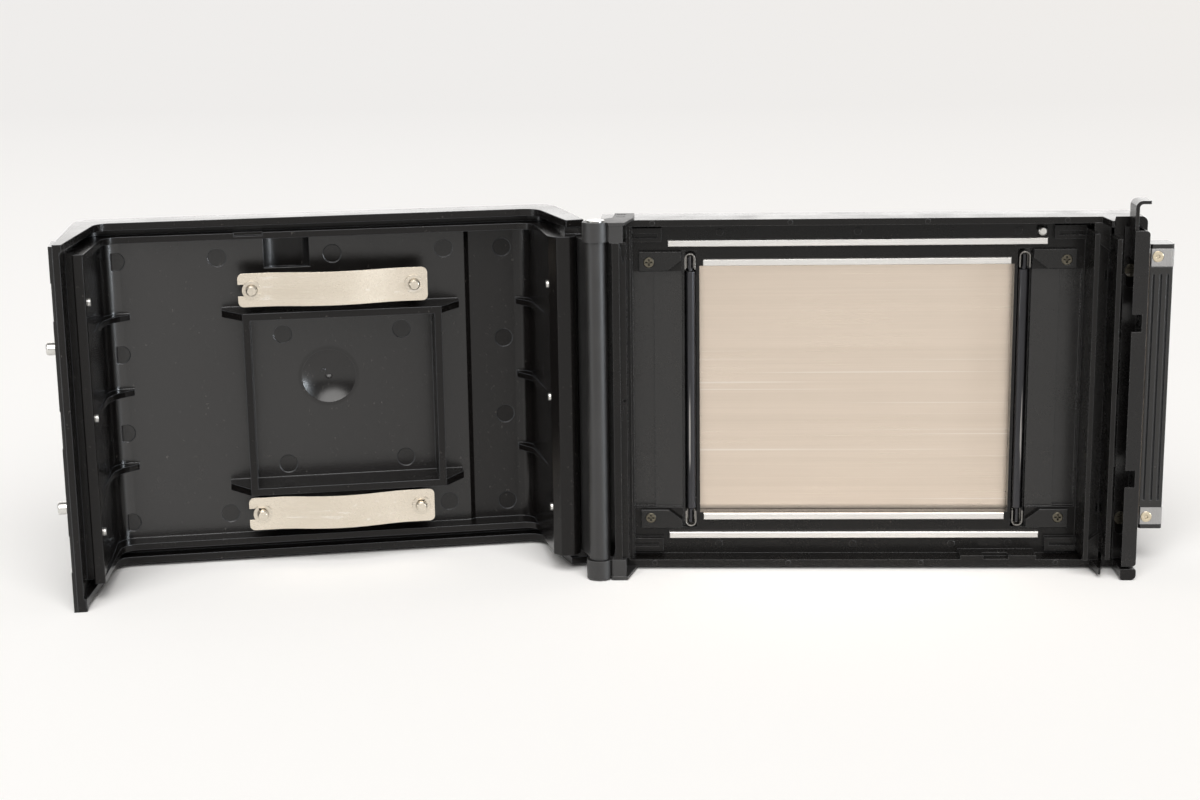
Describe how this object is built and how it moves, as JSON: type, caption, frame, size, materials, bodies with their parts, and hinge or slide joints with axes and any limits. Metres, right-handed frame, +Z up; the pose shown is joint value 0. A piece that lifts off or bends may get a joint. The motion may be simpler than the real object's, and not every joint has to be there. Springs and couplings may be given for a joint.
{
  "type": "roll-film magazine shell",
  "caption": "Opened rear shell of a medium-format roll-film magazine: gate with rails and rollers, dark slide with handle, hinged trough-shaped door with leaf springs, sliding latch bar.",
  "frame": {"origin": "centre of the camera-side mounting face, on the optical axis through the film gate", "axes": "+X towards the dark-slide handle, +Y towards the camera (out of the mounting face), +Z up with the magazine standing on its long narrow side"},
  "size_m": [0.2401, 0.0578, 0.0829],
  "materials": {
    "casting_black": "satin black paint",
    "door_plastic": "satin black moulding",
    "hinge_paint": "fine textured black paint",
    "latch_paint": "satin black paint",
    "cover_black": "matt black paint",
    "rail_steel": "polished strip",
    "roller_steel": "dark burnished steel",
    "bright_steel": "bright steel",
    "dark_screw": "blackened steel",
    "slide_aluminium": "brushed sheet",
    "handle_aluminium": "satin",
    "handle_plastic": "ribbed grip",
    "rivet_brass": "worn",
    "spring_nickel": "nickel plated",
    "felt": "black plush",
    "grip_cover": "pebbled covering",
    "card_frame": "satin black paint"
  },
  "bodies": {
    "body": {"body_casting": "casting_black", "mount_plate": "casting_black", "hanging_hooks": "latch_paint", "catch_lugs": "latch_paint", "slide_cover": "cover_black", "slide_guides": "cover_black", "locating_pin": "bright_steel", "inner_rail_top": "rail_steel", "inner_rail_bottom": "rail_steel", "outer_rail_top": "rail_steel", "outer_rail_bottom": "rail_steel", "roller_clips": "bright_steel", "roller_covers": "cover_black", "cover_screws": "dark_screw", "light_trap_felt": "felt", "plate_screws": "dark_screw", "hinge_bracket_top": "hinge_paint", "hinge_bracket_bottom": "hinge_paint", "hinge_pin": "bright_steel", "latch_screws": "dark_screw"},
    "door": {"door_shell": "door_plastic", "hinge_barrel": "hinge_paint", "edge_strip": "latch_paint", "door_studs": "bright_steel", "wall_rivets": "bright_steel", "leaf_spring_top": "spring_nickel", "leaf_spring_bottom": "spring_nickel", "spring_pins": "bright_steel", "e_clips": "spring_nickel", "door_cover": "grip_cover", "card_holder": "card_frame"},
    "latch": {"latch_bar": "latch_paint", "latch_finger": "latch_paint"},
    "slide": {"dark_slide": "slide_aluminium", "handle_block": "handle_aluminium", "handle_rivets": "rivet_brass", "handle_caps": "handle_plastic", "handle_grip_rear": "handle_plastic", "handle_grip_front": "handle_plastic"},
    "left_roller": {"roller_left": "roller_steel"},
    "right_roller": {"roller_right": "roller_steel"}
  },
  "joints": [
    {"name": "door_hinge", "type": "hinge", "parent": "body", "child": "door", "pos_m": [-0.0564, -0.0194, 0], "axis": [0, 0, 1], "range_deg": [-8, 168.6]},
    {"name": "latch_slide", "type": "slide", "parent": "body", "child": "latch", "axis": [0, 0, 1], "range_m": [0, 0.0026]},
    {"name": "dark_slide_pull", "type": "slide", "parent": "body", "child": "slide", "axis": [1, 0, 0], "range_m": [0, 0.076]},
    {"name": "left_roller_spin", "type": "hinge", "parent": "body", "child": "left_roller", "pos_m": [-0.0363, -0.00805, 0], "axis": [0, 0, 1], "continuous": true},
    {"name": "right_roller_spin", "type": "hinge", "parent": "body", "child": "right_roller", "pos_m": [0.0363, -0.00805, 0], "axis": [0, 0, 1], "continuous": true}
  ]
}
